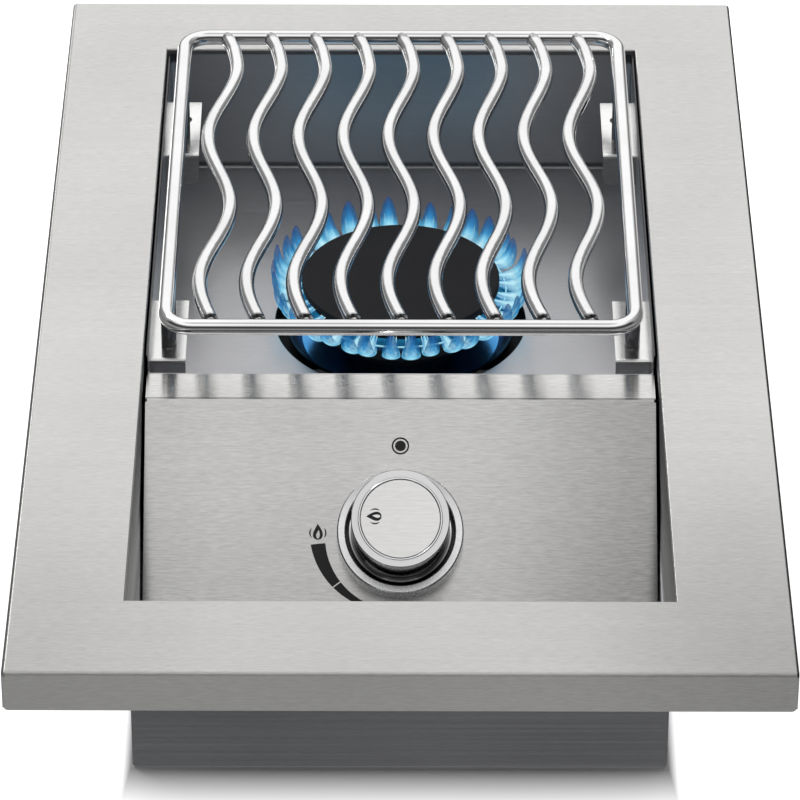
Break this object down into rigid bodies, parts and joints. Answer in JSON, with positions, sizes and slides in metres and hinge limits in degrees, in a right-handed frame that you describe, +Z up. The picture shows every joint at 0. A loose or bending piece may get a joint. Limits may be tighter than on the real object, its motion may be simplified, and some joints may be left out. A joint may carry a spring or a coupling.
{
  "type": "built in side burner",
  "caption": "Drop-in gas side burner with a wide trim frame, an inclined control panel and knob, a round burner in a recessed bowl and a lift-off grid of wavy rods.",
  "frame": {"origin": "centre of the bounding box's bottom, on the underside of the tub", "axes": "+X to the user's right, +Y from the user to the back, +Z up"},
  "size_m": [0.36, 0.61, 0.1415],
  "materials": {
    "satin_stainless": "brushed",
    "bowl_stainless": "polished",
    "rod_stainless": "polished",
    "plain_steel": "satin",
    "chrome_plate": "mirror polished",
    "insert_aluminium": "brushed",
    "cap_enamel": "matte",
    "burner_iron": "matte",
    "base_aluminium": "cast",
    "brass": "machined",
    "supply_aluminium": "satin",
    "ceramic_white": "glazed",
    "module_black": "matte"
  },
  "bodies": {
    "housing": {"trim_frame": "satin_stainless", "tub": "satin_stainless", "bowl": "bowl_stainless", "control_panel": "satin_stainless", "grid_bracket_front_left": "satin_stainless", "grid_bracket_front_right": "satin_stainless", "grid_bracket_rear_left": "satin_stainless", "grid_bracket_rear_right": "satin_stainless", "burner_base": "base_aluminium", "drip_dish": "bowl_stainless", "burner_strap": "plain_steel", "venturi_tube": "plain_steel", "valve_body": "brass", "valve_cover": "brass", "gas_jet": "brass", "knob_bezel": "chrome_plate", "igniter_module": "module_black", "electrode_ceramic": "ceramic_white", "electrode_rod": "plain_steel", "inlet_fitting": "brass", "bulkhead_nut": "brass", "supply_pipe": "supply_aluminium", "pipe_nuts": "brass", "bowl_standoffs": "plain_steel", "burner_screws": "plain_steel", "valve_screws": "plain_steel", "panel_screws": "plain_steel"},
    "cooking_grid": {"grid_frame": "rod_stainless", "grid_wave_rods": "rod_stainless", "grid_legs": "rod_stainless"},
    "burner_head": {"burner_head": "burner_iron"},
    "burner_cap": {"burner_cap": "cap_enamel"},
    "valve_plug": {"valve_plug": "brass", "valve_spring": "plain_steel"},
    "control_knob": {"valve_stem": "plain_steel", "knob_body": "chrome_plate", "knob_insert": "insert_aluminium"},
    "air_shutter": {"air_shutter": "plain_steel", "shutter_lock_screw": "brass"}
  },
  "joints": [
    {"name": "grid_lift", "type": "slide", "parent": "housing", "child": "cooking_grid", "axis": [0, 0, 1], "range_m": [0, 0.03]},
    {"name": "head_lift", "type": "slide", "parent": "housing", "child": "burner_head", "axis": [0, 0, 1], "range_m": [0, 0.012]},
    {"name": "cap_lift", "type": "slide", "parent": "burner_head", "child": "burner_cap", "axis": [0, 0, 1], "range_m": [0, 0.018]},
    {"name": "valve_turn", "type": "hinge", "parent": "housing", "child": "valve_plug", "pos_m": [0, -0.1171, 0.06328], "axis": [0, -0.682, 0.7314], "range_deg": [-90, 90]},
    {"name": "knob_push", "type": "slide", "parent": "valve_plug", "child": "control_knob", "axis": [0, 0.682, -0.7314], "range_m": [0, 0.0032], "stiffness_N_per_m": 1500, "springref_m": -0.003, "deforming": ["valve_spring"]},
    {"name": "shutter_turn", "type": "hinge", "parent": "housing", "child": "air_shutter", "pos_m": [0, -0.0285, 0.02], "axis": [0, 1, 0], "range_deg": [-30, 30]}
  ]
}
